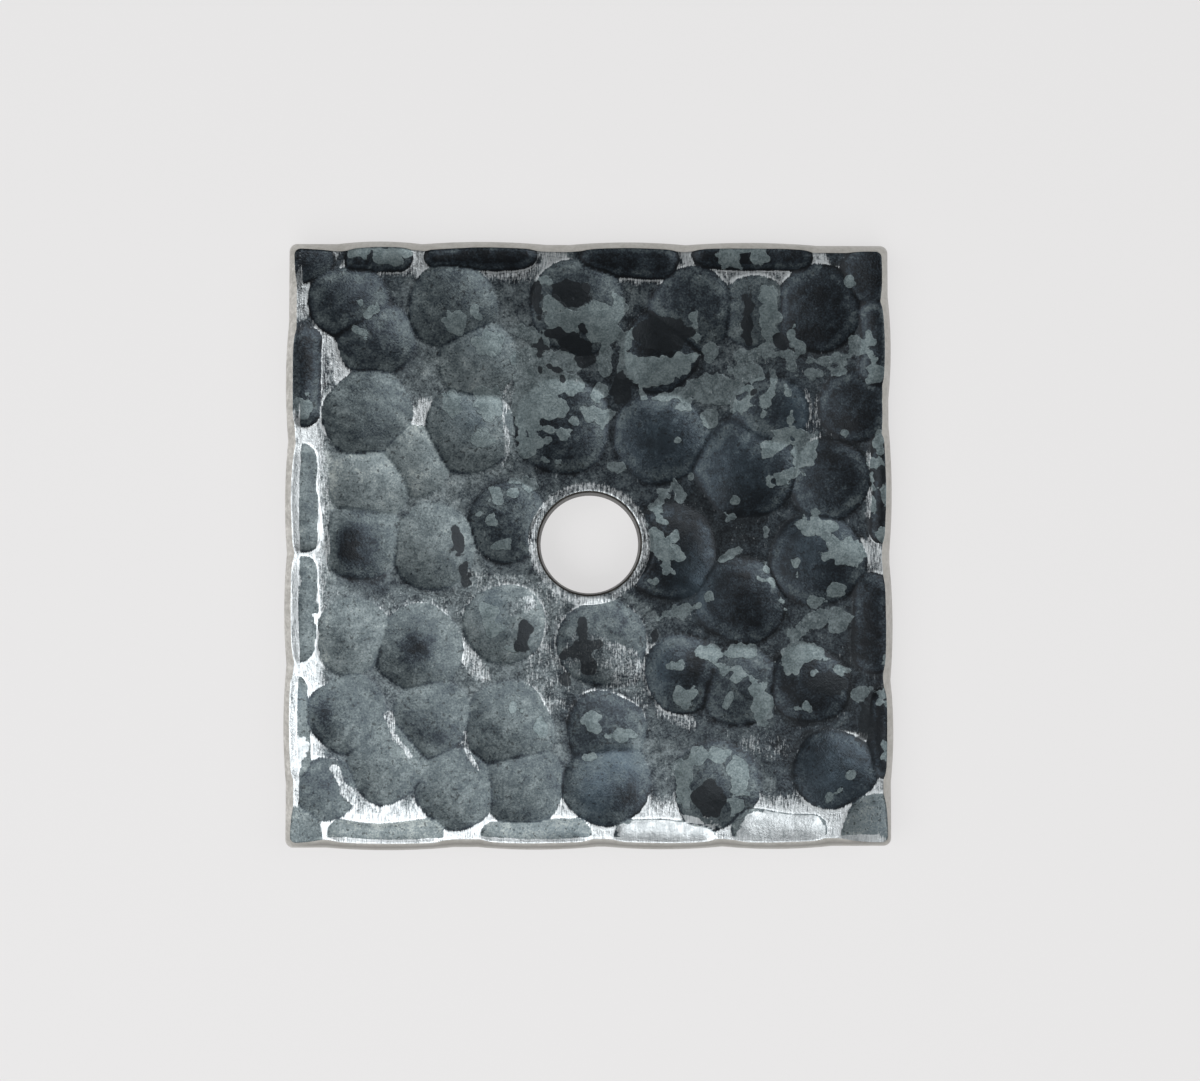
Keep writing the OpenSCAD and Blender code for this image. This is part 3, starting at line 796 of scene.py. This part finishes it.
def cut_steel():
    """The bulged sides, the hole's wall and the underside: steel cut once and dulled, streaked with grime
    down the cut, pale beside the scale, and painted dark low down and in the hole as shade."""
    made, tree, shader, place = new_material("dulled_cut_steel")
    shade_and_grime = add(tree, "ShaderNodeAttribute", attribute_name="shade_and_grime").outputs["Fac"]
    down = add(tree, "ShaderNodeMapping",
               {"Vector": place, "Scale": (per(0.5), per(0.5), per(6))}).outputs[0]
    streak, cloud = (
        add(tree, "ShaderNodeTexNoise", {"Vector": where, "Scale": scale, "Detail": 4,
                                         "Roughness": 0.6}).outputs["Fac"]
        for where, scale in ((down, 1), (place, per(2))))
    both = add(tree, "ShaderNodeMath", {0: streak, 1: cloud}, operation="MULTIPLY").outputs[0]
    shade = add(tree, "ShaderNodeMapRange", {"Value": both, "From Min": 0.12, "From Max": 0.4}).outputs[0]
    tint = add(tree, "ShaderNodeMix", {0: shade, 6: colour("AAA8A2"), 7: colour("DDDBD6")},
               data_type="RGBA").outputs[2]
    streaks_and_shade = add(tree, "ShaderNodeMath", {0: both, 1: 0.9, 2: -0.22}, operation="MULTIPLY_ADD").outputs[0]
    # Darkest where the grime streaks and the painted shade noted on the points add up
    streaks_and_shade = add(tree, "ShaderNodeMath", {0: shade_and_grime, 1: streaks_and_shade}, operation="ADD", use_clamp=True).outputs[0]
    dulled = add(tree, "ShaderNodeMix", {0: streaks_and_shade, 6: tint, 7: colour("35332F")},
                 data_type="RGBA").outputs[2]
    bump = add(tree, "ShaderNodeBump", {"Height": streak, "Distance": 0.05 * MM, "Strength": 1}).outputs[0]
    tree.links.new(dulled, shader.inputs["Base Color"])
    tree.links.new(bump, shader.inputs["Normal"])
    shader.inputs["Metallic"].default_value = 0.75
    shader.inputs["Roughness"].default_value = 0.45
    return made


def seen(tree):
    """1 for what the camera sees, straight or in metal or glass, and 0 for what only lights the part."""
    rays = add(tree, "ShaderNodeLightPath").outputs
    most = rays["Is Camera Ray"]
    for ray in ("Is Glossy Ray", "Is Transmission Ray"):
        most = add(tree, "ShaderNodeMath", {0: most, 1: rays[ray]}, operation="MAXIMUM").outputs[0]
    return most


def paper():
    """White paper under the part: even and matt, lit so well that only a soft shadow shows."""
    made, tree, shader, _ = new_material("white_paper")
    shader.inputs["Base Color"].default_value = colour("E6E5E5")
    shader.inputs["Roughness"].default_value = 0.9
    glow = add(tree, "ShaderNodeEmission", {"Color": colour("E6E5E5")})
    share = add(tree, "ShaderNodeMath", {0: seen(tree), 1: 0.8}, operation="MULTIPLY")
    both = add(tree, "ShaderNodeMixShader", {0: share.outputs[0], 1: shader.outputs[0], 2: glow.outputs[0]})
    tree.links.new(both.outputs[0], tree.nodes["Material Output"].inputs["Surface"])
    return made


def build_plate():
    """The whole washer in one piece."""
    piece = plate_net()
    piece.data.materials.append(mill_scale())
    piece.data.materials.append(cut_steel())
    forge(piece)
    mark_finish(piece)
    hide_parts("plate")
    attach(piece, "root")


def lay_floor():
    """A wide sheet of paper just under the plate."""
    bpy.ops.object.select_all(action="DESELECT")
    bpy.ops.mesh.primitive_plane_add(size=PAPER_SIZE)
    floor = bpy.context.object
    floor.name = "paper"
    floor.location.z = -PAPER_DROP
    floor.data.materials.append(paper())


def light_room():
    """A dim room whose walls look pale, and soft windows to the left, below and, weaker, to the right."""
    world = bpy.data.worlds.new("room")
    bpy.context.scene.world = world
    world.use_nodes = True
    tree = world.node_tree
    way = add(tree, "ShaderNodeTexCoord").outputs["Generated"]
    height = add(tree, "ShaderNodeSeparateXYZ", {0: way}).outputs["Z"]
    wall = add(tree, "ShaderNodeMapRange",
               {"Value": height, "From Min": 0.45, "From Max": 0.25, "To Max": 0.62}).outputs[0]
    wall = add(tree, "ShaderNodeMath", {0: wall, 1: seen(tree)}, operation="MULTIPLY").outputs[0]
    level = add(tree, "ShaderNodeMath", {0: wall, 1: 0.16}, operation="ADD").outputs[0]
    room = tree.nodes["Background"]
    room.inputs["Color"].default_value = (1, 1, 1, 1)
    tree.links.new(level, room.inputs["Strength"])

    # Lean to the right and lean upwards in degrees, watts
    windows = (("left_window", -34, -4, 1.9), ("low_window", -4, -34, 1.9), ("fill", 40, 10, 1))
    for name, right, up, watts in windows:
        right, up = math.radians(right), math.radians(up)
        place = (WINDOW_AWAY * math.sin(right) * math.cos(up), WINDOW_AWAY * math.sin(up),
                 WINDOW_AWAY * math.cos(right) * math.cos(up))
        bpy.ops.object.light_add(type="AREA", location=place)
        lamp = bpy.context.object
        lamp.name = name
        lamp.data.shape = "SQUARE"
        lamp.data.size = WINDOW_SIZE
        lamp.data.energy = watts
        lamp.rotation_euler = (-up, right, 0)


def set_camera():
    """Almost overhead, as the photograph was taken."""
    bpy.ops.object.camera_add(location=(-0.15 * MM, -2.56 * MM, 132.1 * MM))
    camera = bpy.context.object
    camera.name = "camera"
    camera.rotation_euler = (math.radians(1.335), math.radians(-0.665), 0)
    camera.data.sensor_width = 36
    camera.data.lens = camera.data.sensor_width * PHOTO_LENS / PHOTO_WIDTH
    camera.data.clip_start = 0.005
    bpy.context.scene.camera = camera
    bpy.context.scene.view_settings.view_transform = "Standard"


build_plate()
lay_floor()
light_room()
set_camera()
